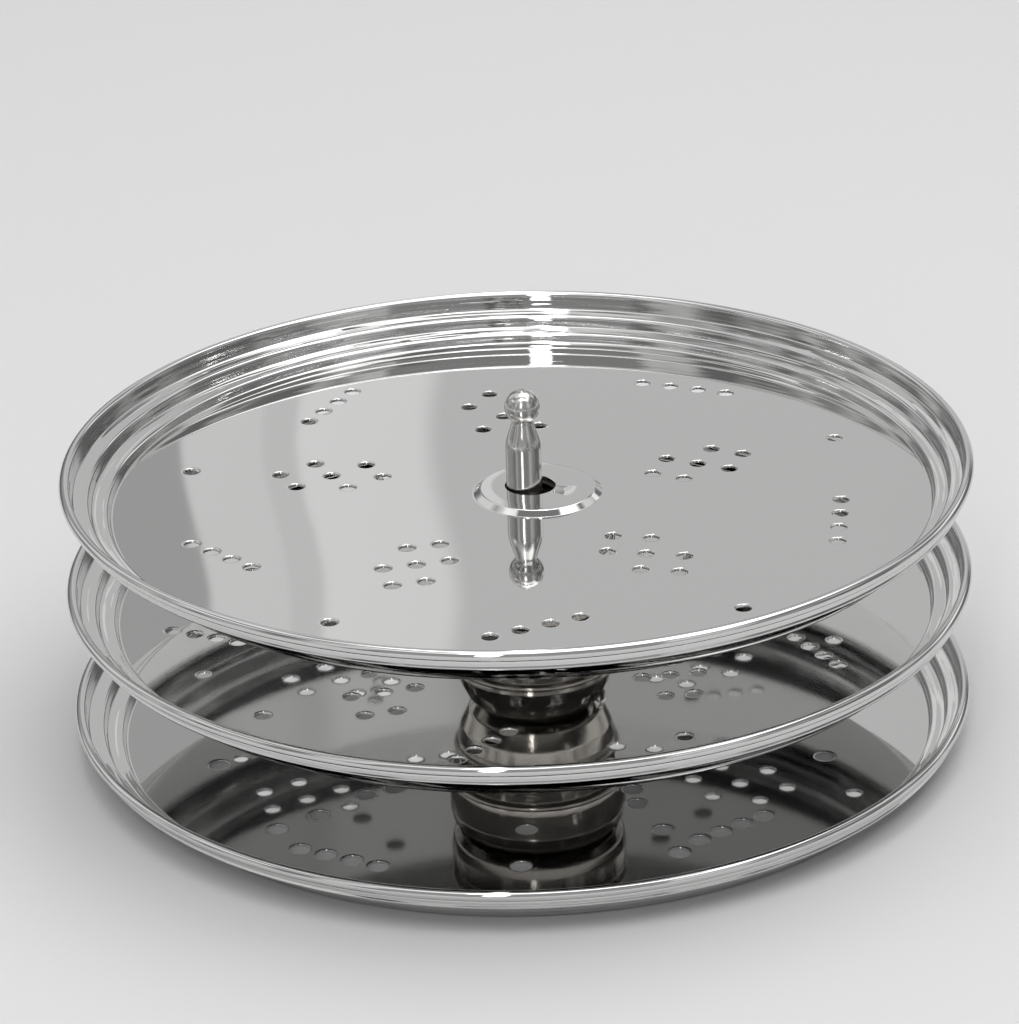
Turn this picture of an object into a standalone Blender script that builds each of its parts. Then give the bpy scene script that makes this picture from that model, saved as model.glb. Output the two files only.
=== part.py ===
"""A three-tier steamer stand for string hoppers, pressed and spun from polished stainless sheet.

Three shallow round plates sit one above another on a central rod. Two hollow spun cups keep the
plates apart, and the rod ends in a turned ball that the stand is lifted by. All lengths are metres.
"""

import math

import bmesh
import bpy
from mathutils import Matrix, Vector

# ---- the sizes that drive the stand -----------------------------------------------------------
MM = 0.001
SHEET = 0.7 * MM                 # thickness of the pressed sheet
REST_GAP = 0.3 * MM              # air left between pieces that lie on one another

# one plate, measured from the underside of its flat base
PLATE_RADIUS = 110.0 * MM        # out to the rolled rim
BASE_RADIUS = 98.4 * MM          # edge of the flat base
BASE_SHIFT = 1.2 * MM            # the base is pressed a little to one side of the rim
BEAD_RADIUS = 1.3 * MM           # half the thickness of the rolled rim
BEAD_HEIGHT = 10.2 * MM          # middle of the rolled rim above the underside
BOSS_FOOT = 16.4 * MM            # raised disc in the middle of the plate
BOSS_TOP = 14.1 * MM
BOSS_RISE = 1.1 * MM
ROD_HOLE = 5.95 * MM             # the hole the rod passes through, a loose fit
MIDDLE_SHIFT = 3.2 * MM          # raised discs, cups and rod stand to one side of the rims
MIDDLE_BACK = 2.7 * MM           # and a little to the back of their middle

# how the plates stack, underside of each flat base above the table
BOTTOM_Z = 0.0
MIDDLE_Z = 31.4 * MM
TOP_Z = 59.7 * MM

# the rod leans to one side of the loose holes
ROD_RADIUS = 4.3 * MM
ROD_X = MIDDLE_SHIFT - 1.3 * MM
ROD_Y = MIDDLE_BACK + 0.3 * MM
BALL_RADIUS = 4.3 * MM
BALL_Z = TOP_Z + SHEET + 21.8 * MM
FOOT_RADIUS = 9.0 * MM
FOOT_THICK = 0.6 * MM

PLATE_STEPS = 28
CUP_STEPS = 16
ROD_STEPS = 12
HOLE_SIDES = 6

# steam holes. A row is (angle in degrees, distance from the middle, pitch, slant off the tangent).
# A cell is a middle hole and the two steps, each (x, y), that carry it to the six holes round it.
# All lengths here are in mm.
TOP_HOLE = 1.9 * MM
TOP_ROWS = (
    (128.2, 75.4, 7.2, 22.6),
    (203.4, 76.3, 6.8, 22.7),
    (272.6, 74.3, 7.5, 21.0),
    (345.2, 79.2, 8.0, 8.3),
    (56.1, 78.1, 7.5, 12.1),
)
TOP_CELLS = (
    ((-45.3, 14.9), (8.4, 6.1), (-4.2, 7.6)),
    ((-23.9, -38.7), (7.8, 1.7), (5.5, 11.2)),
    ((29.9, -36.2), (9.0, -1.9), (1.6, 8.7)),
    ((44.7, 16.0), (11.3, 5.3), (3.8, 8.9)),
    ((-2.6, 49.6), (5.3, 8.2), (-3.5, 14.9)),
)
TOP_SINGLES = ((165.9, 82.5), (237.7, 81.4), (307.0, 84.5), (20.4, 84.6))

MIDDLE_HOLE = 1.9 * MM
MIDDLE_ROWS = tuple((angle, 77.6, 5.9, 54.9) for angle in (335.1, 263.1, 191.1, 119.1, 47.1))
MIDDLE_CELLS = (
    ((-32.6, -48.2), (7.5, 1.9), (4.1, 11.9)),
    ((34.9, -43.5), (6.7, 0.8), (1.5, 11.0)),
    ((54.8, 18.9), (7.4, 6.6), (-4.4, 9.6)),
    ((-1.0, 58.0), (-9.2, 1.2), (-4.6, 8.4)),
    ((-55.5, 17.0), (8.6, 4.9), (-2.4, 9.4)),
)
MIDDLE_SINGLES = ((296.0, 84.0), (224.0, 84.0), (151.0, 84.0), (80.0, 84.0), (8.0, 84.0))

BOTTOM_HOLE = 2.4 * MM
BOTTOM_ROWS = (
    (238.2, 83.2, 6.9, 4.8),
    (308.1, 78.3, 6.4, -3.1),
    (20.2, 82.0, 6.6, 1.0),
    (92.2, 82.0, 6.6, 1.0),
    (164.2, 82.0, 6.6, 1.0),
)
BOTTOM_SPOKES = (225.1, 297.5, 9.1, 81.1, 153.1)
BOTTOM_SPOKE = ((4.6, 48.3), (1.2, 55.0), (0.0, 69.5), (-1.6, 81.1))
BOTTOM_PAIRS = (269.5, 340.5, 53.0, 125.0, 197.0)
BOTTOM_PAIR = ((0.6, 59.5), (-0.6, 77.4))


def clear_scene():
    """Start from nothing."""
    for obj in list(bpy.data.objects):
        bpy.data.objects.remove(obj, do_unlink=True)


def steel(name, tone, roughness):
    """Polished stainless steel."""
    mat = bpy.data.materials.new(name)
    mat.use_nodes = True
    bsdf = mat.node_tree.nodes["Principled BSDF"]
    bsdf.inputs["Base Color"].default_value = (tone, tone, tone * 0.985, 1.0)
    bsdf.inputs["Metallic"].default_value = 1.0
    bsdf.inputs["Roughness"].default_value = roughness
    return mat


def turned(name, profile, steps, mat, centre=(0.0, 0.0, 0.0), closed=True):
    """A turned or spun piece: the (radius, height) outline carried once round the upright axis.

    A third number on a point carries its ring sideways. A closed outline gives a ring of metal,
    and an open one must begin and end on the axis.
    """
    bm = bmesh.new()
    rings = []
    for radius, height, *sideways in profile:
        ring = []
        shift = sideways[0] if sideways else 0.0
        back = sideways[1] if len(sideways) > 1 else 0.0
        if radius < 1.0e-7:
            ring.append(bm.verts.new((centre[0], centre[1], centre[2] + height)))
        else:
            for step in range(steps):
                angle = 2.0 * math.pi * step / steps
                x = centre[0] + shift + radius * math.cos(angle)
                y = centre[1] + back + radius * math.sin(angle)
                ring.append(bm.verts.new((x, y, centre[2] + height)))
        rings.append(ring)
    pairs = list(zip(rings, rings[1:]))
    if closed:
        pairs.append((rings[-1], rings[0]))
    for lower, upper in pairs:
        for step in range(steps):
            following = (step + 1) % steps
            if len(lower) == 1 and len(upper) == 1:
                continue
            if len(lower) == 1:
                bm.faces.new((lower[0], upper[step], upper[following]))
            elif len(upper) == 1:
                bm.faces.new((lower[step], upper[0], lower[following]))
            else:
                bm.faces.new((lower[step], upper[step], upper[following], lower[following]))
    bmesh.ops.recalc_face_normals(bm, faces=bm.faces)
    mesh = bpy.data.meshes.new(name)
    bm.to_mesh(mesh)
    bm.free()
    mesh.materials.append(mat)
    obj = bpy.data.objects.new(name, mesh)
    bpy.context.scene.collection.objects.link(obj)
    return obj


def wall(out, height, z0):
    """A point of the stepped wall, which comes back to the rim's own middle as it climbs."""
    share = 1.0 - min(1.0, height / BEAD_HEIGHT)
    return (BASE_RADIUS + out, z0 + height, BASE_SHIFT * share)


def plate_outline(z0):
    """The section of a plate: flat base, stepped wall, rolled rim, raised disc in the middle."""
    top = z0 + SHEET
    bead = PLATE_RADIUS - BEAD_RADIUS
    bead_z = z0 + BEAD_HEIGHT
    inside = [
        (ROD_HOLE, top + BOSS_RISE, MIDDLE_SHIFT, MIDDLE_BACK),
        (BOSS_TOP, top + BOSS_RISE, MIDDLE_SHIFT, MIDDLE_BACK),
        (BOSS_FOOT, top, MIDDLE_SHIFT, MIDDLE_BACK),
        (BASE_RADIUS, top, BASE_SHIFT),
        wall(1.6 * MM, 2.3 * MM, z0),
        wall(3.7 * MM, 2.8 * MM, z0),
        wall(5.1 * MM, 5.7 * MM, z0),
        wall(6.8 * MM, 6.2 * MM, z0),
        wall(8.3 * MM, 8.0 * MM, z0),
    ]
    rim = [
        (bead - 0.92 * BEAD_RADIUS, bead_z + 0.38 * BEAD_RADIUS),
        (bead, bead_z + BEAD_RADIUS),
        (bead + BEAD_RADIUS, bead_z),
        (bead, bead_z - BEAD_RADIUS),
    ]
    outside = [
        wall(9.0 * MM, 7.3 * MM, z0),
        wall(7.4 * MM, 5.4 * MM, z0),
        wall(5.7 * MM, 5.0 * MM, z0),
        wall(4.2 * MM, 2.1 * MM, z0),
        wall(2.2 * MM, 1.6 * MM, z0),
        (BASE_RADIUS + 0.4 * MM, z0, BASE_SHIFT),
        (BOSS_FOOT - 0.15 * MM, z0, MIDDLE_SHIFT, MIDDLE_BACK),
        (BOSS_TOP - 0.15 * MM, z0 + BOSS_RISE, MIDDLE_SHIFT, MIDDLE_BACK),
        (ROD_HOLE, z0 + BOSS_RISE, MIDDLE_SHIFT, MIDDLE_BACK),
    ]
    return inside + rim + outside


def polar(angle, radius):
    """A spot on the plate from its angle in degrees and its distance from the middle."""
    turn = math.radians(angle)
    return Vector((radius * math.cos(turn), radius * math.sin(turn), 0.0))


def row_spots(groups):
    """Straight rows of four holes."""
    spots = []
    for angle, distance, pitch, slant in groups:
        middle = polar(angle, distance * MM)
        along = polar(angle + 90.0 + slant, pitch * MM)
        for place in (-1.5, -0.5, 0.5, 1.5):
            spots.append(middle + along * place)
    return spots


def cell_spots(groups):
    """Cells of seven holes: one in the middle and six round it, a stretched honeycomb."""
    spots = []
    for middle, first, second in groups:
        for one, two in ((0, 0), (1, 0), (0, 1), (-1, 1), (-1, 0), (0, -1), (1, -1)):
            x = middle[0] + one * first[0] + two * second[0]
            y = middle[1] + one * first[1] + two * second[1]
            spots.append(Vector((x * MM, y * MM, 0.0)))
    return spots


def single_spots(groups):
    """Lone holes near the edge of the base."""
    return [polar(angle, distance * MM) for angle, distance in groups]


def spoke_spots(angles, places):
    """Short lines of holes that run out from the middle, each bent a little off straight."""
    return [polar(angle + turn, distance * MM) for angle in angles for turn, distance in places]


def pierce(plate, z0, spots, radius):
    """Punch the steam holes straight down through the base."""
    bm = bmesh.new()
    for spot in spots:
        place = Matrix.Translation(Vector((spot.x, spot.y, z0 + 0.5 * SHEET)))
        bmesh.ops.create_cone(
            bm,
            cap_ends=True,
            segments=HOLE_SIDES,
            radius1=radius,
            radius2=radius,
            depth=6.0 * SHEET,
            matrix=place,
        )
    mesh = bpy.data.meshes.new(plate.name + "_punches")
    bm.to_mesh(mesh)
    bm.free()
    punches = bpy.data.objects.new(plate.name + "_punches", mesh)
    punches.hide_render = True
    punches.display_type = "WIRE"
    bpy.context.scene.collection.objects.link(punches)
    cut = plate.modifiers.new("steam_holes", "BOOLEAN")
    cut.operation = "DIFFERENCE"
    cut.solver = "EXACT"
    cut.object = punches


def cup_outline(foot_z, head_z, shoulder, ring_radius, ring_drop, skirt):
    """The section of a hollow spacing cup, mouth down, with a ring rolled round its waist."""
    ring_z = head_z - ring_drop
    outer = [(radius * MM, head_z - drop * MM) for radius, drop in shoulder]
    outer.append((ring_radius - 0.5 * MM, ring_z + 0.8 * MM))
    outer.append((ring_radius, ring_z))
    outer.append((skirt, ring_z - 0.8 * MM))
    outer.append((skirt, foot_z))
    inner = [(skirt - SHEET, foot_z), (skirt - SHEET, ring_z)]
    for radius, drop in reversed(shoulder[1:]):
        inner.append((radius * MM - SHEET, head_z - drop * MM - 0.4 * SHEET))
    inner.append((shoulder[1][0] * MM - 2.4 * SHEET, head_z - SHEET))
    bore = ROD_RADIUS + 1.65 * MM
    inner.append((bore, head_z - SHEET))
    return [(bore, head_z)] + outer + inner


clear_scene()

# ---- the three plates -------------------------------------------------------------------------
top_plate = turned("plate_top", plate_outline(TOP_Z), PLATE_STEPS, steel("top steel", 0.66, 0.06))
top_spots = row_spots(TOP_ROWS) + cell_spots(TOP_CELLS) + single_spots(TOP_SINGLES)
pierce(top_plate, TOP_Z, top_spots, TOP_HOLE)

middle_steel = steel("middle steel", 0.65, 0.07)
middle_plate = turned("plate_middle", plate_outline(MIDDLE_Z), PLATE_STEPS, middle_steel)
middle_spots = row_spots(MIDDLE_ROWS) + cell_spots(MIDDLE_CELLS) + single_spots(MIDDLE_SINGLES)
pierce(middle_plate, MIDDLE_Z, middle_spots, MIDDLE_HOLE)

bottom_steel = steel("bottom steel", 0.64, 0.07)
bottom_plate = turned("plate_bottom", plate_outline(BOTTOM_Z), PLATE_STEPS, bottom_steel)
bottom_spots = row_spots(BOTTOM_ROWS)
bottom_spots += spoke_spots(BOTTOM_SPOKES, BOTTOM_SPOKE)
bottom_spots += spoke_spots(BOTTOM_PAIRS, BOTTOM_PAIR)
pierce(bottom_plate, BOTTOM_Z, bottom_spots, BOTTOM_HOLE)

# ---- the two spacing cups ---------------------------------------------------------------------
# the upper cup has a narrow head that seats in the hollow under the top plate's raised disc
cup_middle = (MIDDLE_SHIFT, MIDDLE_BACK, 0.0)
upper_shoulder = ((13.2, 0.0), (14.4, 0.6), (16.6, 2.9), (18.7, 7.2), (19.7, 10.5))
upper_cup = cup_outline(
    MIDDLE_Z + SHEET + REST_GAP,
    TOP_Z + BOSS_RISE - REST_GAP,
    upper_shoulder,
    20.6 * MM,
    12.6 * MM,
    19.4 * MM,
)
upper_steel = steel("upper cup steel", 0.60, 0.10)
turned("spacer_upper", upper_cup, CUP_STEPS, upper_steel, centre=cup_middle)

# the lower cup is wider, with a flat head and a tight shoulder
lower_shoulder = ((18.6, 0.0), (19.8, 0.5), (21.4, 2.3), (22.0, 5.4), (21.7, 10.7))
lower_cup = cup_outline(
    BOTTOM_Z + SHEET + REST_GAP,
    MIDDLE_Z - REST_GAP,
    lower_shoulder,
    22.3 * MM,
    14.0 * MM,
    20.9 * MM,
)
lower_steel = steel("lower cup steel", 0.60, 0.10)
turned("spacer_lower", lower_cup, CUP_STEPS, lower_steel, centre=cup_middle)

# ---- the rod with its ball and its foot -------------------------------------------------------
foot_top = BOTTOM_Z + 0.1 * MM + FOOT_THICK
neck_z = TOP_Z + SHEET
rod_outline = [
    (0.0, BOTTOM_Z + 0.1 * MM),
    (FOOT_RADIUS, BOTTOM_Z + 0.1 * MM),
    (FOOT_RADIUS, foot_top),
    (ROD_RADIUS, foot_top),
    (ROD_RADIUS, neck_z + 12.1 * MM),
    (3.95 * MM, neck_z + 13.7 * MM),
    (3.3 * MM, neck_z + 16.0 * MM),
    (2.65 * MM, neck_z + 18.3 * MM),
]
for tilt in (-36.0, -18.0, 0.0, 20.0, 40.0, 62.0):
    reach = BALL_RADIUS * math.cos(math.radians(tilt))
    rise = BALL_RADIUS * math.sin(math.radians(tilt))
    rod_outline.append((reach, BALL_Z + rise))
rod_outline.append((0.0, BALL_Z + BALL_RADIUS))
turned(
    "rod",
    rod_outline,
    ROD_STEPS,
    steel("rod steel", 0.56, 0.16),
    centre=(ROD_X, ROD_Y, 0.0),
    closed=False,
)
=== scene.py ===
# %% [markdown]
# A three-tier steamer stand for string hoppers, in mirror-polished stainless sheet: three
# perforated plates, two spacing cups and a rod with a ball to lift it by.
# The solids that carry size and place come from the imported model. This file builds the finely
# shaped pieces that are shown in their stead, and gives them their finish. One millimetre gets a
# name here, so that every size can be written as it would be on a workshop drawing.

import math

import bmesh
import bpy
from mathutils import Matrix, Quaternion, Vector, geometry, noise


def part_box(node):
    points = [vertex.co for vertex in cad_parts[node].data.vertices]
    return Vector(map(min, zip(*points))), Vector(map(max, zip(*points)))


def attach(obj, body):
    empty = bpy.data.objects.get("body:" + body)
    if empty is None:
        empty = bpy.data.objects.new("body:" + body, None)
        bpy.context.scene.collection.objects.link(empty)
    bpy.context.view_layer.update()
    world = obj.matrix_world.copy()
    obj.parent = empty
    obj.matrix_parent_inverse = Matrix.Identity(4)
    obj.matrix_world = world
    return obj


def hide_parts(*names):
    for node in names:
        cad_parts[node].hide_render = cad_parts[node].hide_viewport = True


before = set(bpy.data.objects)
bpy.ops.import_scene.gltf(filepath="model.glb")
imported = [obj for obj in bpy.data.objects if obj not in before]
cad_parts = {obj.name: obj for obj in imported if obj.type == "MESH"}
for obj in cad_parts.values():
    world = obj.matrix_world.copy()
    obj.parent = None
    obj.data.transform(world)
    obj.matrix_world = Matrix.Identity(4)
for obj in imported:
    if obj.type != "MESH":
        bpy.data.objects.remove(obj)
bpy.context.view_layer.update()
MM = 0.001
print("solids:", ", ".join(sorted(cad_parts)))

# %% [markdown]
# The camera comes first, so that every later step can be judged from where the stand is seen.
# It looks down on the stand from about a metre away with a long lens, as a product is usually
# shown, and leans a little to one side. The aim is a point instead of a set of angles, because a
# point is easier to move. The standard view transform keeps the greys of the steel as they are.

# %% The camera
CAMERA_PLACE = Vector((0.0, -0.95511, 0.48119))
CAMERA_AIM = Vector((-0.00186, 0.0, 0.0559))
CAMERA_LEAN = math.radians(-1.711)
CAMERA_LENS = 152.28
camera_data = bpy.data.cameras.new("camera")
camera_data.sensor_fit = "HORIZONTAL"
camera_data.sensor_width = 36.0
camera_data.lens = CAMERA_LENS
camera_data.clip_start = 0.05
camera_data.clip_end = 60.0
camera = bpy.data.objects.new("camera", camera_data)
bpy.context.scene.collection.objects.link(camera)
camera.location = CAMERA_PLACE
camera.rotation_mode = "QUATERNION"
look = (CAMERA_AIM - CAMERA_PLACE).to_track_quat("-Z", "Y")
camera.rotation_quaternion = look @ Quaternion((0.0, 0.0, 1.0), CAMERA_LEAN)
bpy.context.scene.camera = camera
bpy.context.scene.view_settings.view_transform = "Standard"
bpy.context.scene.view_settings.look = "None"
print("camera %.2f m from the stand" % (CAMERA_AIM - CAMERA_PLACE).length)

# %% [markdown]
# The sizes of one plate, as a sheet-metal worker would note them. The bead is the rolled rim, and
# the boss is the raised disc round the rod. The flat base and the boss of these hand-pressed
# plates aren't quite in the middle of the rim, so each has its own small shift. The heights at
# which the plates stand are read from the solids, so that the shown plates land exactly where the
# model has them.

# %% Sizes
SHEET = 0.7 * MM
PLATE_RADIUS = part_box("plate_top")[1].x
BASE_RADIUS = 98.4 * MM
BASE_SHIFT = 1.2 * MM
BEAD_RADIUS = 1.3 * MM
BEAD_HEIGHT = 10.2 * MM
BOSS_RISE = 1.33 * MM
ROD_HOLE = 6.1 * MM
MIDDLE = Vector((3.2, 2.7)) * MM
ROUND = 256
BOSS_ROUND = 96
floors = {name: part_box(name)[0].z for name in ("plate_top", "plate_middle", "plate_bottom")}
print("plates stand at", {name: round(z / MM, 1) for name, z in floors.items()}, "mm")

# %% [markdown]
# Everything on the stand is spun or pressed, so its shape is one section carried round an axis.
# A section is drawn with sharp corners, which is easy to read and to change, and a helper rounds
# each corner with a small arc, as the press tool does. A Bevel modifier could do the same on the
# finished mesh, but here each corner keeps a radius of its own. A second helper adds points along
# a section, so that fine ridges have something to bend.


# %% Section helpers
LONGEST_REACH = 0.46


def rounded(points, radii, arc=5):
    """Replace each inner corner of an open section by a small arc of its own radius."""
    out = [tuple(points[0])]
    for before, corner, after, radius in zip(points, points[1:], points[2:], radii):
        corner = Vector(corner)
        back = Vector(before) - corner
        on = Vector(after) - corner
        half = back.angle(on) / 2.0
        longest = LONGEST_REACH * min(back.length, on.length)
        reach = min(radius / math.tan(half), longest)
        fitted = reach * math.tan(half)
        back.normalize()
        on.normalize()
        centre = corner + (back + on).normalized() * (fitted / math.sin(half))
        start = corner + back * reach - centre
        end = corner + on * reach - centre
        turn = math.atan2(start.x * end.y - start.y * end.x, start.dot(end))
        for step in range(arc + 1):
            angle = turn * step / arc
            x = start.x * math.cos(angle) - start.y * math.sin(angle)
            y = start.x * math.sin(angle) + start.y * math.cos(angle)
            out.append((centre.x + x, centre.y + y))
    out.append(tuple(points[-1]))
    return out


def evenly(points, gap):
    """The same open line with extra points, so that none lie further apart than the gap."""
    out = [points[0]]
    for start, end in zip(points, points[1:]):
        parts = max(1, math.ceil(math.dist(start, end) / gap))
        for part in range(1, parts + 1):
            share = part / parts
            x = start[0] + (end[0] - start[0]) * share
            y = start[1] + (end[1] - start[1]) * share
            out.append((x, y))
    return out


corner_test = rounded(((0.0, 0.0), (1.0, 0.0), (1.0, 1.0)), (0.2,))
print("a line with one rounded corner has", len(corner_test), "points")

# %% [markdown]
# The wall of a plate climbs in three pressed steps and ends in a rim that is rolled outwards over
# most of a turn, so that no raw edge is left. The numbers are millimetres out from the edge of
# the base and up from the top of the sheet. The inside and the outside are drawn separately,
# because the steps are softer on the outside, and the rolled rim joins them. It closes against
# the outside of the wall in a fine groove.

# %% The stepped wall and rolled rim
WALL = (
    (0.0, 0.0),
    (0.75, 0.0),
    (1.25, 2.15),
    (4.85, 2.8),
    (5.25, 5.45),
    (8.75, 6.25),
    (9.0, 8.7),
    (9.0, 9.5),
)
WALL_ROUNDS = (0.8, 1.0, 0.4, 1.0, 0.45, 1.6)
OUTSIDE = (
    (0.0, -0.7),
    (1.9, -0.7),
    (2.6, 1.3),
    (4.9, 2.0),
    (6.3, 4.7),
    (9.35, 5.4),
    (9.72, 6.0),
    (9.50, 6.6),
    (9.7, 7.2),
    (9.65, 8.6),
)
OUTSIDE_ROUNDS = (1.0, 0.9, 1.0, 0.9, 0.5, 0.3, 0.4, 0.4)
ROLL_STEPS = 24
ROLL_START = 180.0
ROLL_TURN = 308.0
ROLL_GAP = 0.1 * MM
RIDGE_GAP = 0.17 * MM


def plate_section():
    """Up the inside of the wall, over the rim and down the outside, as (radius, height)."""
    wall = [(out * MM, up * MM) for out, up in WALL]
    outside = [(out * MM, up * MM) for out, up in OUTSIDE]
    inner = rounded(wall, [radius * MM for radius in WALL_ROUNDS], arc=7)
    outer = rounded(outside, [radius * MM for radius in OUTSIDE_ROUNDS])
    bead_middle = (PLATE_RADIUS - BEAD_RADIUS - BASE_RADIUS, BEAD_HEIGHT - SHEET)
    roll = []
    for step in range(ROLL_STEPS + 1):
        angle = math.radians(ROLL_START - ROLL_TURN * step / ROLL_STEPS)
        x = bead_middle[0] + BEAD_RADIUS * math.cos(angle)
        y = bead_middle[1] + BEAD_RADIUS * math.sin(angle)
        roll.append((x, y))
    inner = [point for point in inner if point[1] < roll[0][1] - ROLL_GAP]
    inner = evenly(inner, RIDGE_GAP)
    outer = [point for point in outer if point[1] < roll[-1][1] - ROLL_GAP]
    points = inner + roll + list(reversed(outer))
    return [(BASE_RADIUS + x, y) for x, y in points], len(inner)


section, inside_count = plate_section()
print("wall and rim drawn with", len(section), "points")

# %% [markdown]
# The steam holes let steam rise through the plates. They are punched by hand in groups: slanted
# rows of four, cells of seven and lone holes, five of each round the plate, and none of them is
# quite like the next. So each group is placed by a few numbers of its own, in millimetres and
# degrees from the middle of the rim. A row is its angle, its distance, the pitch of its holes and
# its slant. A cell is its middle and the two steps between neighbours. A lone hole is its angle
# and its distance. The bottom plate has spokes and pairs in place of cells and lone holes.

# %% Places of the steam holes
TOP_ROWS = (
    (128.2, 75.4, 7.2, 22.6),
    (203.4, 76.3, 6.8, 22.7),
    (272.6, 74.3, 7.5, 21.0),
    (345.2, 79.2, 8.0, 8.3),
    (56.1, 78.1, 7.5, 12.1),
)
TOP_CELLS = (
    ((-45.3, 14.9), (8.4, 6.1), (-4.2, 7.6)),
    ((-23.9, -38.7), (7.8, 1.7), (5.5, 11.2)),
    ((29.9, -36.2), (9.0, -1.9), (1.6, 8.7)),
    ((44.7, 16.0), (11.3, 5.3), (3.8, 8.9)),
    ((-2.6, 49.6), (5.3, 8.2), (-3.5, 14.9)),
)
TOP_SINGLES = ((165.9, 82.5), (237.7, 81.4), (307.0, 84.5), (20.4, 84.6))
MIDDLE_ROWS = tuple((angle, 77.6, 5.9, 54.9) for angle in (335.1, 263.1, 191.1, 119.1, 47.1))
MIDDLE_CELLS = (
    ((-32.6, -48.2), (7.5, 1.9), (4.1, 11.9)),
    ((34.9, -43.5), (6.7, 0.8), (1.5, 11.0)),
    ((54.8, 18.9), (7.4, 6.6), (-4.4, 9.6)),
    ((-1.0, 58.0), (-9.2, 1.2), (-4.6, 8.4)),
    ((-55.5, 17.0), (8.6, 4.9), (-2.4, 9.4)),
)
MIDDLE_SINGLES = ((296.0, 84.0), (224.0, 84.0), (151.0, 84.0), (80.0, 84.0), (8.0, 84.0))
BOTTOM_ROWS = (
    (238.2, 83.2, 6.9, 4.8),
    (308.1, 78.3, 6.4, -3.1),
    (20.2, 82.0, 6.6, 1.0),
    (92.2, 82.0, 6.6, 1.0),
    (164.2, 82.0, 6.6, 1.0),
)
BOTTOM_SPOKES = (225.1, 297.5, 9.1, 81.1, 153.1)
BOTTOM_SPOKE = ((4.6, 48.3), (1.2, 55.0), (0.0, 69.5), (-1.6, 81.1))
BOTTOM_PAIRS = (269.5, 340.5, 53.0, 125.0, 197.0)
BOTTOM_PAIR = ((0.6, 59.5), (-0.6, 77.4))
print("top plate:", len(TOP_ROWS), "rows,", len(TOP_CELLS), "cells,", len(TOP_SINGLES), "alone")

# %% [markdown]
# Small helpers turn the groups into single spots. A repeated pattern made with an Array modifier
# would be quicker, and would look too even for punching done by hand.


# %% From groups to spots
def polar(angle, distance):
    """A spot on the plate from its angle in degrees and its distance from the middle."""
    turn = math.radians(angle)
    return Vector((distance * math.cos(turn), distance * math.sin(turn)))


def rows(groups):
    """Straight rows of four holes."""
    spots = []
    for angle, distance, pitch, slant in groups:
        along = polar(angle + 90.0 + slant, pitch)
        spots += [polar(angle, distance) + along * place for place in (-1.5, -0.5, 0.5, 1.5)]
    return spots


def cells(groups):
    """Cells of seven holes: one in the middle and six round it."""
    steps = ((0, 0), (1, 0), (0, 1), (-1, 1), (-1, 0), (0, -1), (1, -1))
    spots = []
    for middle, first, second in groups:
        for one, two in steps:
            spots.append(Vector(middle) + Vector(first) * one + Vector(second) * two)
    return spots


def around(angles, places):
    """The same few holes repeated at several angles."""
    return [polar(angle + turn, distance) for angle in angles for turn, distance in places]


top_spots = rows(TOP_ROWS) + cells(TOP_CELLS) + [polar(*spot) for spot in TOP_SINGLES]
middle_spots = rows(MIDDLE_ROWS) + cells(MIDDLE_CELLS) + [polar(*spot) for spot in MIDDLE_SINGLES]
bottom_spots = rows(BOTTOM_ROWS)
bottom_spots += around(BOTTOM_SPOKES, BOTTOM_SPOKE) + around(BOTTOM_PAIRS, BOTTOM_PAIR)
print("holes:", len(top_spots), len(middle_spots), len(bottom_spots))

# %% [markdown]
# A plate could be a lathed disc with Boolean cutters, but a polished face shows every stray edge
# that a Boolean leaves. So the flat base is triangulated between its border, the raised disc and
# the holes, and the rounded parts are clean rings of quads that share those borders. The border
# rings lie flat on both sides, which keeps the mirror of the base perfectly level.


# %% Mesh helpers
UNDERSIDE = -0.55
SHARP_FOLD = math.radians(35.0)


def ring(bm, radius, height, count, shift=0.0, middle=(0.0, 0.0)):
    """One circle of vertices, moved sideways by the shift."""
    verts = []
    for step in range(count):
        angle = 2.0 * math.pi * step / count
        x = middle[0] + shift + radius * math.cos(angle)
        y = middle[1] + radius * math.sin(angle)
        verts.append(bm.verts.new((x, y, height)))
    return verts


def bridge(bm, first, second):
    """Quads between two circles with the same number of vertices."""
    count = len(first)
    for step in range(count):
        on = (step + 1) % count
        bm.faces.new((first[step], first[on], second[on], second[step]))


def flat_web(borders):
    """Triangles that fill a flat base inside its first border and round all the others."""
    verts = [vert for border in borders for vert in border]
    corners = geometry.tessellate_polygon([[vert.co for vert in border] for border in borders])
    return [tuple(verts[corner] for corner in triple) for triple in corners]


def finish_mesh(bm, name, material, under=None):
    """Turn the built faces into a piece with even shading and crisp creases."""
    bmesh.ops.recalc_face_normals(bm, faces=bm.faces)
    mesh = bpy.data.meshes.new(name)
    bm.to_mesh(mesh)
    bm.free()
    mesh.materials.append(material)
    # Faces that look down get the underside material, whose tone carries painted light and shade.
    if under:
        mesh.materials.append(under)
        for polygon in mesh.polygons:
            if polygon.normal.z < UNDERSIDE:
                polygon.material_index = 1
    mesh.shade_smooth()
    mesh.set_sharp_from_angle(angle=SHARP_FOLD)
    piece = bpy.data.objects.new(name, mesh)
    bpy.context.scene.collection.objects.link(piece)
    return piece


print("folds sharper than %.0f degrees stay crisp" % math.degrees(SHARP_FOLD))

# %% [markdown]
# Polished stainless steel is a bare metal surface: all its look is in what it mirrors. A metallic
# shader with a fixed roughness would give a flawless mirror that looks like glass. The steel here
# has three faint faults of real sheet as well. Broad waves left by the press bend the mirror a
# little. Smears left by the polishing wheel make it now sharper and now duller. Where the surface
# was turned, a fine grain roughens the skin. All three are noise, so they need no image.


# %% A recipe for steel
WAVE_SCALE = 9.0
GRAIN_SCALE = 420.0
SMEAR_SCALE = 55.0
SHARPEST, DULLEST = 0.6, 1.5


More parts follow.
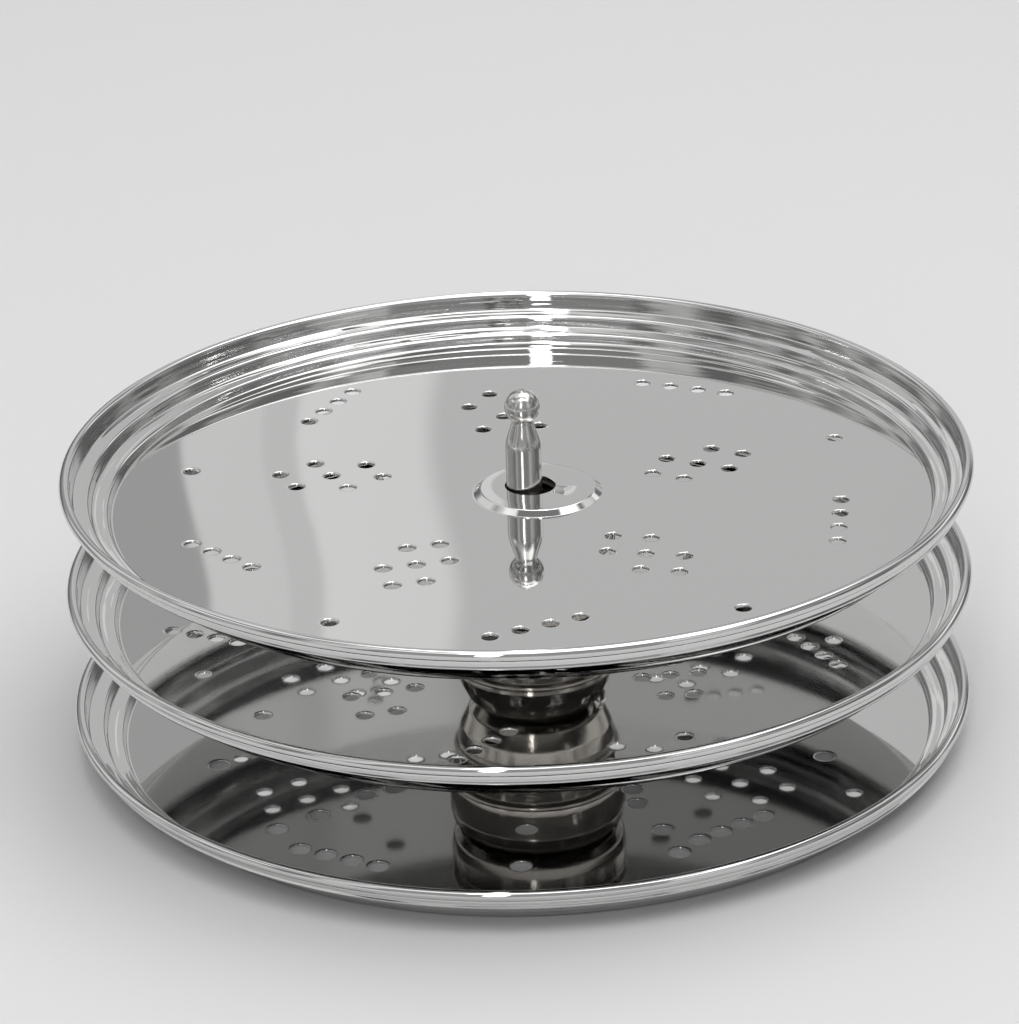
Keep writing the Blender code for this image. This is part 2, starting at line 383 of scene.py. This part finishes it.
def node(tree, kind, **settings):
    """Add a shader node and set its named properties."""
    made = tree.nodes.new(kind)
    for key, value in settings.items():
        setattr(made, key, value)
    return made


def speckle(tree, place, scale, detail):
    """Noise that is fixed to the piece, as a value from nought to one."""
    made = node(tree, "ShaderNodeTexNoise")
    made.inputs["Scale"].default_value = scale
    made.inputs["Detail"].default_value = detail
    tree.links.new(place.outputs["Object"], made.inputs["Vector"])
    return made.outputs["Fac"]


def relief(tree, height, depth):
    """A bump of the given depth in metres."""
    made = node(tree, "ShaderNodeBump")
    made.inputs["Strength"].default_value = 1.0
    made.inputs["Distance"].default_value = depth
    tree.links.new(height, made.inputs["Height"])
    return made


def steel(name, tone, roughness, wave, grain=0.0, bare=1.0):
    """Polished steel; wave and grain are depths in metres, and bare is how metallic it looks."""
    material = bpy.data.materials.new(name)
    material.use_nodes = True
    tree = material.node_tree
    bsdf = tree.nodes["Principled BSDF"]
    bsdf.inputs["Metallic"].default_value = bare
    bsdf.inputs["Base Color"].default_value = tone
    place = node(tree, "ShaderNodeTexCoord")
    skin = relief(tree, speckle(tree, place, WAVE_SCALE, 0.0), wave)
    if grain:
        bend = skin
        skin = relief(tree, speckle(tree, place, GRAIN_SCALE, 2.0), grain)
        tree.links.new(bend.outputs["Normal"], skin.inputs["Normal"])
    tree.links.new(skin.outputs["Normal"], bsdf.inputs["Normal"])
    spread = node(tree, "ShaderNodeMapRange")
    spread.inputs["To Min"].default_value = roughness * SHARPEST
    spread.inputs["To Max"].default_value = roughness * DULLEST
    tree.links.new(speckle(tree, place, SMEAR_SCALE, 4.0), spread.inputs["Value"])
    tree.links.new(spread.outputs["Result"], bsdf.inputs["Roughness"])
    return material


print("steel has waves, smears and, where turned, grain")

# %% [markdown]
# The five finishes of the stand. The plates are polished hard on top. Their undersides are only
# brushed over, and their tones are painted light and shade: the top plate's underside is painted
# bright, as if lit, and those of the two lower plates are painted dark, as the shade between the
# plates. The cups are spun, so they are wavier and softer than the plates. Their tone is painted
# lighter and warmer, as a painted reflection of warm light, and they are not fully metallic. The
# rod is drawn bar, with the softest shine of all.

# %% Steel finishes
plate_steel = steel("plate_steel", (0.665, 0.665, 0.66, 1.0), 0.028, 0.00003)
# The underside tones are painted light and shade: bright on the top plate, dark on the lower two.
underside_painted_lit = steel("plate_underside_painted_lit", (0.80, 0.80, 0.79, 1.0), 0.06, 0.00012)
underside_painted_shade = steel("plate_underside_painted_shade", (0.33, 0.33, 0.325, 1.0), 0.07, 0.00012)
# The cups' lighter, warmer tone is painted light and a painted reflection of warm surroundings.
cup_steel = steel("cup_steel", (0.74, 0.70, 0.65, 1.0), 0.13, 0.00025, 0.000002, 0.90)
rod_steel = steel("rod_steel", (0.58, 0.575, 0.56, 1.0), 0.17, 0.0001, 0.00002)
print("finishes:", ", ".join(material.name for material in bpy.data.materials))

# %% [markdown]
# The boss is the low disc that the press raises round the rod hole, which stiffens the sheet
# where the load sits. Its section runs from the hole outwards, in millimetres. The disc came out
# of the press a little lopsided, so its rings drift sideways on their way from the hole to the
# edge. The lip of the hole is broken by a small chamfer, as on any edge that is cleaned by hand.

# %% The raised disc
BOSS = ((6.1, 1.33), (10.9, 1.33), (14.0, 1.26), (15.6, 0.0), (16.3, 0.0))
BOSS_ROUNDS = (6.0, 0.8, 0.25)
BOSS_BORDER = ((16.9, 0.0), (17.8, 0.0))
CHAMFER = 0.12 * MM
HOLE_DRIFT = Vector((0.15, 0.0)) * MM
BOSS_DRIFT = Vector((2.0, -0.9)) * MM
DRIFT_REACH = 10.7 * MM - ROD_HOLE


def boss_section():
    """In under the disc, round the lip of the rod hole and out again on top."""
    corners = [(radius * MM, height * MM) for radius, height in BOSS]
    top = rounded(corners, [radius * MM for radius in BOSS_ROUNDS], arc=6)
    top += [(radius * MM, height * MM) for radius, height in BOSS_BORDER]
    under = [(radius, height - SHEET) for radius, height in top]
    lip = [(ROD_HOLE, BOSS_RISE - SHEET + CHAMFER), (ROD_HOLE, BOSS_RISE - CHAMFER)]
    top[0] = (ROD_HOLE + CHAMFER, BOSS_RISE)
    under[0] = (ROD_HOLE + CHAMFER, BOSS_RISE - SHEET)
    return list(reversed(under)) + lip + top


def boss_rings(bm, top):
    """The rings of the disc, underside first."""
    rings = []
    for radius, height in boss_section():
        share = min(1.0, max(0.0, (radius - ROD_HOLE) / DRIFT_REACH))
        place = MIDDLE + HOLE_DRIFT.lerp(BOSS_DRIFT, share)
        rings.append(ring(bm, radius, top + height, BOSS_ROUND, 0.0, place))
    return rings


print("raised disc:", len(boss_section()), "rings")

# %% [markdown]
# The wall isn't a perfect lathe shape. The tool that smooths it leaves shallow ridges that run
# round the plate and fade in and out, and they break the bright reflections into short streaks.
# A bump texture would leave the mesh itself smooth, so they are pressed into the mesh: long marks
# that hold for a good part of the turn, and short ones on top. Both are noise read on a circle,
# which closes without a seam. The shift of the base fades out on the way up to the rim.

# %% The ridged wall
RIDGE_PITCH = 0.9 * MM
RIDGE_LONG = 0.055 * MM
RIDGE_SHORT = 0.018 * MM
LONG_MARKS = 2.5
SHORT_MARKS = 16.0
SHORT_PITCH = 1.3
PLAIN_ENDS = 4
WALL_REACH = BEAD_HEIGHT - 0.4 * MM


def ridge(x, y, run, seed):
    """How far a ridge stands out at one spot of the wall."""
    up = run / RIDGE_PITCH
    long_mark = noise.noise(Vector((x * LONG_MARKS, y * LONG_MARKS, up + seed)))
    short_mark = noise.noise(Vector((x * SHORT_MARKS, y * SHORT_MARKS, up * SHORT_PITCH - seed)))
    return long_mark * RIDGE_LONG + short_mark * RIDGE_SHORT


def wall_rings(bm, top, seed):
    """The rings of the wall and rim, with ridges on the inside only."""
    run = 0.0
    rings = []
    for place, (radius, height) in enumerate(section):
        before = section[max(0, place - 1)]
        after = section[min(len(section) - 1, place + 1)]
        along = Vector((after[0] - before[0], after[1] - before[1])).normalized()
        run += math.dist(before, (radius, height))
        ridged = PLAIN_ENDS < place < inside_count - PLAIN_ENDS
        share = 1.0 - min(1.0, max(0.0, height + SHEET) / WALL_REACH)
        verts = []
        for step in range(ROUND):
            angle = 2.0 * math.pi * step / ROUND
            x, y = math.cos(angle), math.sin(angle)
            push = ridge(x, y, run, seed) if ridged else 0.0
            far = radius + along.y * push
            up = top + height - along.x * push
            verts.append(bm.verts.new((far * x + BASE_SHIFT * share, far * y, up)))
        rings.append(verts)
    return rings


print("ridges stand out by up to %.2f mm" % ((RIDGE_LONG + RIDGE_SHORT) / MM))

# %% [markdown]
# A steam hole is punched from above, and the punch leaves its mark on both faces: it draws the
# sheet down softly on the way in, and leaves a small burr on the way out. In a mirror even these
# show as a bright ring. The section of the edge is given in millimetres outside the hole and up
# from the top of the sheet. Its first and last rings are level with the flat base. On the bottom
# plate the burr is flattened by the table.

# %% The punched edge
HOLE_STEPS = 24
HOLE_EDGE = (
    (0.62, 0.0),
    (0.42, 0.0),
    (0.30, -0.012),
    (0.17, -0.05),
    (0.06, -0.13),
    (0.0, -0.26),
    (0.0, -0.62),
    (0.05, -0.76),
    (0.14, -0.80),
    (0.28, -0.74),
    (0.42, -0.70),
    (0.62, -0.70),
)


def hole_rings(bm, top, spot, hole_radius):
    """The rings of one punched hole, top side first."""
    middle = (spot.x * MM, spot.y * MM)
    rings = []
    for out, up in HOLE_EDGE:
        height = max(0.0, top + up * MM)
        rings.append(ring(bm, hole_radius + out * MM, height, HOLE_STEPS, 0.0, middle))
    return rings


print("a hole has", len(HOLE_EDGE), "rings of", HOLE_STEPS)

# %% [markdown]
# Now one whole plate can be put together from the middle out: the boss, the flat base with its
# holes, the stepped wall and the rolled rim. It is one closed skin, like the one sheet of steel
# that it is, and not a stack of parts. The three plates differ in their holes, in the seed of
# their ridges and in the painted light and shade of their undersides.


# %% The three plates
SMALL_HOLE = 1.9 * MM
LARGE_HOLE = 2.4 * MM
BORDER_RADIUS = BASE_RADIUS - 0.6 * MM


def join(bm, rings):
    """Quads from each ring to the next."""
    for first, second in zip(rings, rings[1:]):
        bridge(bm, first, second)


def build_plate(name, spots, hole_radius, seed, under):
    """A whole plate as one closed skin."""
    top = floors[name] + SHEET
    bm = bmesh.new()
    wall = wall_rings(bm, top, seed)
    border_top = ring(bm, BORDER_RADIUS, top, ROUND, BASE_SHIFT)
    border_under = ring(bm, BORDER_RADIUS, top - SHEET, ROUND, BASE_SHIFT)
    join(bm, [border_top] + wall + [border_under])
    boss = boss_rings(bm, top)
    join(bm, boss)
    holes = [hole_rings(bm, top, spot, hole_radius) for spot in spots]
    for rings in holes:
        join(bm, rings)
    webs = flat_web([border_top, boss[-1]] + [rings[0] for rings in holes])
    webs += flat_web([border_under, boss[0]] + [rings[-1] for rings in holes])
    for corners in webs:
        bm.faces.new(corners)
    return finish_mesh(bm, name + "_shown", plate_steel, under)


# The top plate's underside carries painted light, and the two lower plates' undersides carry
# painted shade.
plates = {
    "plate_top": build_plate("plate_top", top_spots, SMALL_HOLE, 3.1, underside_painted_lit),
    "plate_middle": build_plate("plate_middle", middle_spots, SMALL_HOLE, 14.7, underside_painted_shade),
    "plate_bottom": build_plate("plate_bottom", bottom_spots, LARGE_HOLE, 27.3, underside_painted_shade),
}
for name, piece in plates.items():
    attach(piece, "root")
    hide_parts(name)
    print(name, len(piece.data.polygons), "faces")

# %% [markdown]
# The cups and the rod are lathe work. Blender's Screw modifier can turn a section into such a
# piece, but a section drawn as plain numbers and turned ring by ring gives clean quads, and lets
# a point on the axis become a single vertex.


# %% A helper for lathe work
ON_AXIS = 1.0e-7


def spun(name, outline, steps, middle, material, closed=True):
    """A lathed piece from its (radius, height) outline."""
    bm = bmesh.new()
    rings = []
    for radius, height in outline:
        if radius < ON_AXIS:
            rings.append([bm.verts.new((middle[0], middle[1], height))])
        else:
            rings.append(ring(bm, radius, height, steps, 0.0, middle))
    pairs = list(zip(rings, rings[1:]))
    if closed:
        pairs.append((rings[-1], rings[0]))
    for first, second in pairs:
        if len(first) == 1 or len(second) == 1:
            tip, circle = (first[0], second) if len(first) == 1 else (second[0], first)
            for step in range(len(circle)):
                bm.faces.new((tip, circle[step], circle[(step + 1) % len(circle)]))
        else:
            bridge(bm, first, second)
    return finish_mesh(bm, name, material)


print("lathe ready")

# %% [markdown]
# The cups that hold the plates apart are spun from sheet, mouth down, with a ring rolled round the
# waist and a hole in the head for the rod. A solid bobbin would look the same from outside, but
# the real cups are hollow and let the steam up, so their section is a closed line: over the
# shoulder, round the ring, down the skirt and back up inside. Sizes are in millimetres, and depths
# are measured down from the head.

# %% Spacing cups
UPPER_SHOULDER = ((13.2, 0.0), (14.4, 0.6), (16.6, 2.9), (18.7, 7.2), (19.7, 10.5))
UPPER_ROUNDS = (0.6, 1.5, 3.0, 4.0, 3.0)
LOWER_SHOULDER = ((18.6, 0.0), (19.8, 0.5), (21.4, 2.3), (22.0, 5.4), (21.7, 10.7))
LOWER_ROUNDS = (0.5, 1.0, 2.0, 3.0, 3.0)
CUP_HOLE = ROD_HOLE + 0.1 * MM
CUP_ROUND = 128
RING_BEAD = 0.8 * MM
RING_STEPS = 12
ABOVE_RING = 1.6 * MM
BELOW_RING = 0.9 * MM
FOOT_EDGE = 0.2 * MM
INNER_SINK = 0.4 * SHEET


def cup_outline(low, high, shoulder, rounds, ring_radius, ring_drop, skirt):
    """The section of a cup between its foot and its head."""
    waist = high - ring_drop * MM
    edge = skirt * MM
    outer = [(CUP_HOLE, high)]
    outer += [(radius * MM, high - depth * MM) for radius, depth in shoulder]
    outer += [(shoulder[-1][0] * MM, waist + ABOVE_RING)]
    outer = rounded(outer, [radius * MM for radius in rounds], arc=7)
    bead = []
    for step in range(RING_STEPS + 1):
        angle = math.radians(90.0 - 180.0 * step / RING_STEPS)
        reach = ring_radius * MM - RING_BEAD + RING_BEAD * math.cos(angle)
        bead.append((reach, waist + RING_BEAD * math.sin(angle)))
    lower = [(edge, waist - BELOW_RING), (edge, low + FOOT_EDGE)]
    lower += [(edge - FOOT_EDGE, low), (edge - SHEET + FOOT_EDGE, low)]
    inner = [(edge - SHEET, low + FOOT_EDGE), (edge - SHEET, waist)]
    for radius, depth in reversed(shoulder[1:]):
        inner.append((radius * MM - SHEET, high - depth * MM - INNER_SINK))
    inner += [(shoulder[0][0] * MM - SHEET, high - SHEET), (CUP_HOLE, high - SHEET)]
    return outer + bead + lower + inner


def cup(name, node_name, *shape):
    """One spacing cup, as tall as its solid."""
    low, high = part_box(node_name)
    piece = spun(name, cup_outline(low.z, high.z, *shape), CUP_ROUND, MIDDLE, cup_steel)
    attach(piece, "root")
    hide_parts(node_name)
    print(name, len(piece.data.polygons), "faces")


cup("spacer_upper_shown", "spacer_upper", UPPER_SHOULDER, UPPER_ROUNDS, 20.6, 12.6, 19.4)
cup("spacer_lower_shown", "spacer_lower", LOWER_SHOULDER, LOWER_ROUNDS, 22.3, 14.0, 20.9)

# %% [markdown]
# The rod is drawn bar. Its top is turned down to a neck under the ball that the stand is lifted
# by, and a thin disc at its foot carries the bottom plate. The ball could be a sphere pushed onto
# the bar, but on the real rod it is turned in one with the neck, so the section simply runs on
# over it to the axis.

# %% The rod
rod_low, rod_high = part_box("rod")
ROD_MIDDLE = ((rod_low.x + rod_high.x) / 2.0, (rod_low.y + rod_high.y) / 2.0)
ROD_RADIUS = 4.3 * MM
ROD_ROUND = 96
FOOT_RADIUS = 9.0 * MM
FOOT_THICK = 0.6 * MM
TAPER_RADIUS = 3.75 * MM
NECK_RADIUS = 2.6 * MM
TAPER_HEIGHTS = (12.0 * MM, 14.4 * MM, 17.8 * MM)
SHAFT_ROUNDS = (0.15, 0.15, 0.3, 9.0, 20.0, 1.2)
BALL_RADIUS = 4.3 * MM
BALL_STEPS = 24
BALL_START = -53.5
BALL_SEAT = 3.42 * MM
ball_z = rod_high.z - BALL_RADIUS
top_face = floors["plate_top"] + SHEET
foot_top = rod_low.z + FOOT_THICK
shaft = [
    (0.0, rod_low.z),
    (FOOT_RADIUS, rod_low.z),
    (FOOT_RADIUS, foot_top),
    (ROD_RADIUS, foot_top),
    (ROD_RADIUS, top_face + TAPER_HEIGHTS[0]),
    (TAPER_RADIUS, top_face + TAPER_HEIGHTS[1]),
    (NECK_RADIUS, top_face + TAPER_HEIGHTS[2]),
    (NECK_RADIUS, ball_z - BALL_SEAT),
]
shaft = rounded(shaft, [radius * MM for radius in SHAFT_ROUNDS], arc=8)
ball = []
for step in range(1, BALL_STEPS + 1):
    angle = math.radians(BALL_START + (90.0 - BALL_START) * step / BALL_STEPS)
    reach = BALL_RADIUS * math.cos(angle) if step < BALL_STEPS else 0.0
    ball.append((reach, ball_z + BALL_RADIUS * math.sin(angle)))
rod = spun("rod_shown", shaft + ball, ROD_ROUND, ROD_MIDDLE, rod_steel, closed=False)
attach(rod, "root")
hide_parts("rod")
print("rod:", len(rod.data.polygons), "faces")

# %% [markdown]
# The room comes last, and for polished steel it is half of the finish. It starts with a pale matte
# floor and even light from all round. The floor has no gloss, so that the stand keeps its soft
# shadow and gets no mirror image under it.


# %% Floor and world
FLOOR_REACH = 15.0
FLOOR_TONE = 0.645
WORLD_LIGHT = 0.70


def matte(name, tone):
    """A plain matte surface."""
    material = bpy.data.materials.new(name)
    material.use_nodes = True
    bsdf = material.node_tree.nodes["Principled BSDF"]
    bsdf.inputs["Base Color"].default_value = (tone, tone, tone, 1.0)
    bsdf.inputs["Roughness"].default_value = 0.9
    bsdf.inputs["Specular IOR Level"].default_value = 0.0
    return material


bm = bmesh.new()
bmesh.ops.create_grid(bm, x_segments=1, y_segments=1, size=FLOOR_REACH)
floor_mesh = bpy.data.meshes.new("floor")
bm.to_mesh(floor_mesh)
bm.free()
floor_mesh.materials.append(matte("floor_paint", FLOOR_TONE))
floor = bpy.data.objects.new("floor", floor_mesh)
bpy.context.scene.collection.objects.link(floor)

world = bpy.data.worlds.new("world")
world.use_nodes = True
background = world.node_tree.nodes["Background"]
background.inputs["Color"].default_value = (1.0, 1.0, 1.0, 1.0)
background.inputs["Strength"].default_value = WORLD_LIGHT
bpy.context.scene.world = world
print("floor tone", FLOOR_TONE, "and world light", WORLD_LIGHT)

# %% [markdown]
# Glow that varies over a card needs a little arithmetic in shader nodes. These helpers keep it
# readable: one step of arithmetic, a ramp of greys, and a card's soft edge.


# %% Helpers for the lights
def math_node(tree, operation, first, second=0.0):
    """One step of arithmetic; either side may be a number or the output of another node."""
    made = node(tree, "ShaderNodeMath", operation=operation)
    for socket, value in zip(made.inputs, (first, second)):
        if isinstance(value, float):
            socket.default_value = value
        else:
            tree.links.new(value, socket)
    return made.outputs["Value"]


def set_ramp(ramp, stops):
    """Fill a colour ramp with greys at the given positions."""
    elements = ramp.color_ramp.elements
    elements.remove(elements[1])
    for number, (where, tone) in enumerate(stops):
        stop = elements[0] if number == 0 else elements.new(where)
        stop.position = where
        stop.color = (tone, tone, tone, 1.0)


def glow(name):
    """A material with nothing in it but light: the material, the light node and the output."""
    material = bpy.data.materials.new(name)
    material.use_nodes = True
    tree = material.node_tree
    tree.nodes.clear()
    return material, node(tree, "ShaderNodeEmission"), node(tree, "ShaderNodeOutputMaterial")


def fade(tree, parts, width, height, soft):
    """One in the middle of a card, falling to nothing over the soft width at its edges."""
    shares = []
    for axis, size in (("X", width), ("Y", height)):
        distance = math_node(tree, "ABSOLUTE", parts.outputs[axis])
        inside = math_node(tree, "SUBTRACT", size / 2.0, distance)
        ramp = node(tree, "ShaderNodeMapRange", interpolation_type="SMOOTHSTEP")
        ramp.inputs["From Max"].default_value = soft
        tree.links.new(inside, ramp.inputs["Value"])
        shares.append(ramp.outputs["Result"])
    return math_node(tree, "MULTIPLY", shares[0], shares[1])


print("light helpers ready")

# %% [markdown]
# The broad light and dark bands that lie across the flat top are the mirror image of what stands
# behind the stand, such as panels and gaps of a light tent made of cloth. So the card behind the
# stand is striped. Each stripe is a place on the card, in metres from its middle, and a grey. The
# cloth hangs in a slow swing and has creases, and a sine and some noise bend the stripes the same
# way. Painting the bands onto the steel would be wrong: they have to slide over it as one walks
# round the stand.

# %% Stripes of the card behind
STRIPE_CREASES = 18.0
STRIPE_WOBBLE = 0.006
STRIPE_MIDDLE = 0.026
STRIPE_TURN = 27.0
STRIPE_SWING = 0.0092
BACK_STRIPES = (
    (-0.640, 0.46),
    (-0.242, 0.44),
    (-0.239, 0.77),
    (-0.182, 0.76),
    (-0.180, 0.69),
    (-0.155, 0.69),
    (-0.152, 0.87),
    (-0.064, 0.85),
    (-0.048, 0.635),
    (0.250, 0.635),
    (0.640, 0.60),
)


def striped(tree, place, parts, width, stripes):
    """The greys of a striped card, with stripes that swing and wobble."""
    creases = node(tree, "ShaderNodeTexNoise")
    creases.inputs["Scale"].default_value = STRIPE_CREASES
    creases.inputs["Detail"].default_value = 4.0
    tree.links.new(place.outputs["Object"], creases.inputs["Vector"])
    bend = math_node(tree, "SUBTRACT", creases.outputs["Fac"], 0.5)
    bend = math_node(tree, "MULTIPLY", bend, STRIPE_WOBBLE)
    swing = math_node(tree, "SUBTRACT", parts.outputs["Y"], STRIPE_MIDDLE)
    swing = math_node(tree, "MULTIPLY", swing, STRIPE_TURN)
    swing = math_node(tree, "SINE", swing)
    swing = math_node(tree, "MULTIPLY", swing, STRIPE_SWING)
    across = math_node(tree, "SUBTRACT", parts.outputs["X"], swing)
    across = math_node(tree, "ADD", across, bend)
    spot = node(tree, "ShaderNodeMapRange")
    spot.inputs["From Min"].default_value = -width / 2.0
    spot.inputs["From Max"].default_value = width / 2.0
    tree.links.new(across, spot.inputs["Value"])
    ramp = node(tree, "ShaderNodeValToRGB")
    set_ramp(ramp, [(where / width + 0.5, tone) for where, tone in stripes])
    tree.links.new(spot.outputs["Result"], ramp.inputs["Fac"])
    return ramp.outputs["Color"]


print("card behind:", len(BACK_STRIPES), "stops")

# %% [markdown]
# Cards are what a product studio puts round polished metal: glowing sheets that only light and
# reflect. They are hidden from the camera and cast no shadow, and each fades to clear at its
# edges, so that it leaves no hard line in the metal. A lamp object would light the stand as well,
# but couldn't carry stripes or a soft edge. A card is placed by its angle round the stand, with
# nought behind it and 90 to its right, by its angle above the floor and by its distance.


# %% A soft card
CENTRE = Vector((0.0, 0.0, 0.04))


def card_sheet(name, width, height, material):
    """A flat rectangle round its own middle."""
    x, y = width / 2.0, height / 2.0
    mesh = bpy.data.meshes.new(name)
    corners = [(-x, -y, 0.0), (x, -y, 0.0), (x, y, 0.0), (-x, y, 0.0)]
    mesh.from_pydata(corners, [], [(0, 1, 2, 3)])
    mesh.materials.append(material)
    return mesh


def card(name, azimuth, elevation, distance, width, height, strength, soft=0.1, stripes=None):
    """A glowing card that faces the stand."""
    material, light, output = glow(name)
    tree = material.node_tree
    light.inputs["Strength"].default_value = strength
    place = node(tree, "ShaderNodeTexCoord")
    parts = node(tree, "ShaderNodeSeparateXYZ")
    tree.links.new(place.outputs["Object"], parts.inputs["Vector"])
    if stripes:
        tree.links.new(striped(tree, place, parts, width, stripes), light.inputs["Color"])
    blend = node(tree, "ShaderNodeMixShader")
    clear = node(tree, "ShaderNodeBsdfTransparent")
    tree.links.new(fade(tree, parts, width, height, soft), blend.inputs["Fac"])
    tree.links.new(clear.outputs["BSDF"], blend.inputs[1])
    tree.links.new(light.outputs["Emission"], blend.inputs[2])
    tree.links.new(blend.outputs["Shader"], output.inputs["Surface"])
    board = bpy.data.objects.new(name, card_sheet(name, width, height, material))
    bpy.context.scene.collection.objects.link(board)
    turn, rise = math.radians(azimuth), math.radians(elevation)
    flat = distance * math.cos(rise)
    away = Vector((flat * math.sin(turn), flat * math.cos(turn), distance * math.sin(rise)))
    spot = CENTRE + away
    board.location = spot
    board.rotation_mode = "QUATERNION"
    board.rotation_quaternion = (CENTRE - spot).to_track_quat("Z", "Y")
    board.visible_camera = False
    board.visible_shadow = False
    print("card", name)


# %% [markdown]
# Each card has one task. The striped card behind shows in the flat top. The overhead card is the
# main light, and its mirror image runs along every rounded fold as a bright line. The window and
# the strips are small and strong, and make the hot spots on the rims and walls. The dim cards
# keep the glow of the tent away from the parts of the steel that have to look dark, and the fills
# lift the sides of the walls a little.

# %% The cards
#    name, azimuth, elevation, distance, width, height, strength, soft edge
card("back_card", 0.0, 24.0, 2.19, 1.3, 0.75, 1.0, 0.03, stripes=BACK_STRIPES)
card("overhead", 80.0, 77.0, 1.95, 2.5, 2.0, 2.55, 0.3)
card("window", 188.0, 30.0, 1.7, 0.18, 0.95, 12.0, 0.06)
card("front_dim", 180.0, 26.0, 2.3, 3.0, 1.9, 0.38, 0.2)
card("lamp", 55.0, 83.0, 1.8, 0.24, 0.24, 12.0, 0.08)
card("back_strip", 0.4, 50.0, 2.0, 0.07, 0.75, 9.0, 0.03)
card("high_strip", 197.0, 68.0, 1.8, 0.16, 0.8, 9.0, 0.05)
card("high_gap", 180.0, 83.0, 1.82, 2.4, 0.42, 0.25, 0.08)
card("left_fill", -95.0, 38.0, 2.2, 1.1, 0.5, 1.3, 0.15)
card("right_fill", 40.0, 26.0, 2.2, 1.2, 0.45, 1.2, 0.15)
card("back_high_dim", 2.0, 46.0, 2.2, 1.2, 0.65, 0.40, 0.12)

# %% [markdown]
# The stand takes light away from the floor in front of it and to its right. Two wide lamps above
# the floor give it back, so that the ground stays pale and even. They light the floor only, and
# aren't seen in the steel.


# %% Lamps for the floor
def floor_lamp(name, place, width, depth, power):
    """A wide lamp that points straight down and isn't seen in the steel."""
    light = bpy.data.lights.new(name, "AREA")
    light.shape = "RECTANGLE"
    light.size = width
    light.size_y = depth
    light.energy = power
    lamp = bpy.data.objects.new(name, light)
    bpy.context.scene.collection.objects.link(lamp)
    lamp.location = place
    lamp.visible_camera = False
    lamp.visible_glossy = False
    print("lamp", name)


floor_lamp("floor_front", (0.0, -0.50, 0.75), 0.9, 0.4, 0.75)
floor_lamp("floor_right", (0.46, -0.12, 0.75), 0.4, 0.6, 0.35)

# %% [markdown]
# Whatever the cards leave open shows the light tent, a hidden dome of cloth. An evenly lit dome
# would make the steel look flat. This one glows more towards the top, and in soft patches from
# side to side, as cloth does with lamps behind it. The patches are noise, pulled tall, because
# folds of hanging cloth run up and down. The levels are pairs of height and glow.

# %% Glow of the tent
TENT_RADIUS = 2.8
TENT_LEVELS = ((0.0, 0.36), (0.2, 0.42), (0.4, 0.56), (0.6, 0.56), (0.75, 0.60), (1.0, 1.15))
TENT_LOW, TENT_HIGH = 0.42, 1.55
PATCH_FROM, PATCH_TO = 0.40, 0.62
PATCH_SCALE = 1.05
PATCH_TALL = 0.55
PATCH_DRAW = 2.0
RAMP_HEADROOM = 2.0


def tent_levels(tree, place):
    """The glow of the tent at each height, scaled down to fit a colour ramp."""
    parts = node(tree, "ShaderNodeSeparateXYZ")
    tree.links.new(place.outputs["Object"], parts.inputs["Vector"])
    height = math_node(tree, "DIVIDE", parts.outputs["Z"], TENT_RADIUS)
    levels = node(tree, "ShaderNodeValToRGB")
    set_ramp(levels, [(where, tone / RAMP_HEADROOM) for where, tone in TENT_LEVELS])
    tree.links.new(height, levels.inputs["Fac"])
    return levels.outputs["Color"]


def tent_patches(tree, place):
    """How much each patch of the tent glows."""
    stretch = node(tree, "ShaderNodeMapping")
    stretch.inputs["Scale"].default_value = (1.0, 1.0, PATCH_TALL)
    tree.links.new(place.outputs["Object"], stretch.inputs["Vector"])
    patches = node(tree, "ShaderNodeTexNoise", noise_dimensions="4D")
    patches.inputs["Scale"].default_value = PATCH_SCALE
    patches.inputs["Detail"].default_value = 1.5
    patches.inputs["W"].default_value = PATCH_DRAW
    tree.links.new(stretch.outputs["Vector"], patches.inputs["Vector"])
    spread = node(tree, "ShaderNodeMapRange", interpolation_type="SMOOTHSTEP")
    spread.inputs["From Min"].default_value = PATCH_FROM
    spread.inputs["From Max"].default_value = PATCH_TO
    spread.inputs["To Min"].default_value = TENT_LOW
    spread.inputs["To Max"].default_value = TENT_HIGH
    tree.links.new(patches.outputs["Fac"], spread.inputs["Value"])
    return math_node(tree, "MULTIPLY", spread.outputs["Result"], RAMP_HEADROOM)


print("tent glows from", TENT_LEVELS[0][1], "low down to", TENT_LEVELS[-1][1], "at the top")

# %% [markdown]
# The dome itself is a sphere without its lower part, which the floor would hide. Flat facets are
# good enough, since only its glow counts and that doesn't depend on the shape of the mesh.

# %% The light tent
TENT_SKIRT = -0.35
bm = bmesh.new()
bmesh.ops.create_icosphere(bm, subdivisions=3, radius=TENT_RADIUS)
low = [vert for vert in bm.verts if vert.co.z < TENT_SKIRT]
bmesh.ops.delete(bm, geom=low, context="VERTS")
tent_mesh = bpy.data.meshes.new("tent")
bm.to_mesh(tent_mesh)
bm.free()
tent_cloth, tent_light, tent_output = glow("tent")
tree = tent_cloth.node_tree
place = node(tree, "ShaderNodeTexCoord")
tree.links.new(tent_levels(tree, place), tent_light.inputs["Color"])
tree.links.new(tent_patches(tree, place), tent_light.inputs["Strength"])
tree.links.new(tent_light.outputs["Emission"], tent_output.inputs["Surface"])
tent_mesh.materials.append(tent_cloth)
tent = bpy.data.objects.new("tent", tent_mesh)
bpy.context.scene.collection.objects.link(tent)
tent.visible_camera = False
tent.visible_shadow = False
print("tent of", len(tent_mesh.polygons), "faces")
